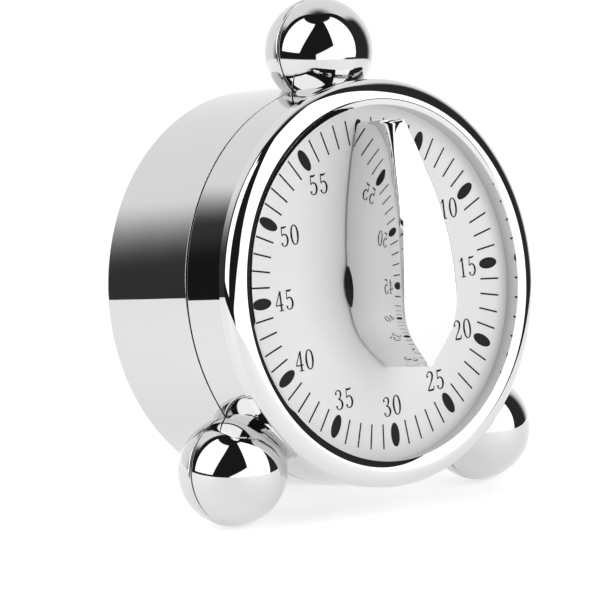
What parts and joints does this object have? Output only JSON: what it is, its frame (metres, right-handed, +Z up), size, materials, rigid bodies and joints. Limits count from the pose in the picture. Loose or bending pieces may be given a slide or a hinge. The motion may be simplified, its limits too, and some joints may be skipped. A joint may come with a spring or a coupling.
{
  "type": "mechanical lab timer",
  "caption": "Round plated sixty-minute clockwork timer on ball feet, leaning back, with a wing knob over a recessed dial and a bell inside.",
  "frame": {"origin": "middle of the footprint, on the surface that the timer stands on", "axes": "+Z up, -Y towards the reader of the dial, +X to the reader's right; the case leans back about X"},
  "size_m": [0.0692, 0.0448, 0.0793],
  "materials": {
    "plated_case": "mirror plating on moulded plastic",
    "plated_bezel": "mirror plating",
    "plated_knob": "mirror plating",
    "dial_paint": "satin white with black scale",
    "brass": "stamped, lightly brushed",
    "steel": "turned",
    "spring_steel": "blued",
    "zinc_screw": "zinc plated",
    "bell_steel": "nickel plated"
  },
  "bodies": {
    "root": {"front_case": "plated_case", "rear_case": "plated_case", "bezel": "plated_bezel", "dial": "dial_paint", "front_plate": "brass", "rear_plate": "brass", "pillars": "steel", "plate_screws": "zinc_screw", "movement_screws": "zinc_screw", "case_screws": "zinc_screw", "bell": "bell_steel", "bell_screw": "zinc_screw", "mainspring": "spring_steel"},
    "knob": {"knob": "plated_knob", "knob_clip": "spring_steel", "main_arbor": "steel", "main_wheel": "brass", "ratchet_wheel": "steel", "click": "steel", "click_rivet": "steel", "click_spring": "spring_steel", "let_off_cam": "brass"},
    "second_arbor": {"second_pinion": "steel", "second_wheel": "brass"},
    "third_arbor": {"third_pinion": "steel", "third_wheel": "brass"},
    "escape_arbor": {"escape_pinion": "steel", "escape_wheel": "brass"},
    "balance": {"balance": "steel"},
    "hammer": {"hammer": "zinc_screw", "hammer_spring": "spring_steel"}
  },
  "joints": [
    {"name": "knob_turn", "type": "hinge", "parent": "root", "child": "knob", "pos_m": [0, -0.01006, 0.03556], "axis": [0, 0.9886, -0.1504], "range_deg": [0, 354], "deforming": ["mainspring"]},
    {"name": "second_turn", "type": "hinge", "parent": "root", "child": "second_arbor", "pos_m": [0.01645, -0.00108, 0.02814], "axis": [0, 0.9886, -0.1504], "range_deg": [-2125, 1]},
    {"name": "third_turn", "type": "hinge", "parent": "root", "child": "third_arbor", "pos_m": [0.01114, -0.00221, 0.02071], "axis": [0, 0.9886, -0.1504], "range_deg": [-1, 7647.4]},
    {"name": "escape_turn", "type": "hinge", "parent": "root", "child": "escape_arbor", "pos_m": [0.00275, -0.00278, 0.01697], "axis": [0, 0.9886, -0.1504], "range_deg": [-27528.04, 1]},
    {"name": "balance_rock", "type": "hinge", "parent": "root", "child": "balance", "pos_m": [-0.0054, -0.00268, 0.0176], "axis": [0, 0.9886, -0.1504], "range_deg": [-10, 10]},
    {"name": "hammer_swing", "type": "hinge", "parent": "root", "child": "hammer", "pos_m": [-0.00875, 0.0021, 0.04904], "axis": [0, 0.9886, -0.1504], "range_deg": [0, 15], "stiffness_Nm_per_rad": 0.002, "springref_deg": -17.19}
  ],
  "couplings": [
    {"joint": "second_turn", "follows": "knob_turn", "ratio": -6},
    {"joint": "third_turn", "follows": "knob_turn", "ratio": 21.6},
    {"joint": "escape_turn", "follows": "knob_turn", "ratio": -77.76}
  ]
}
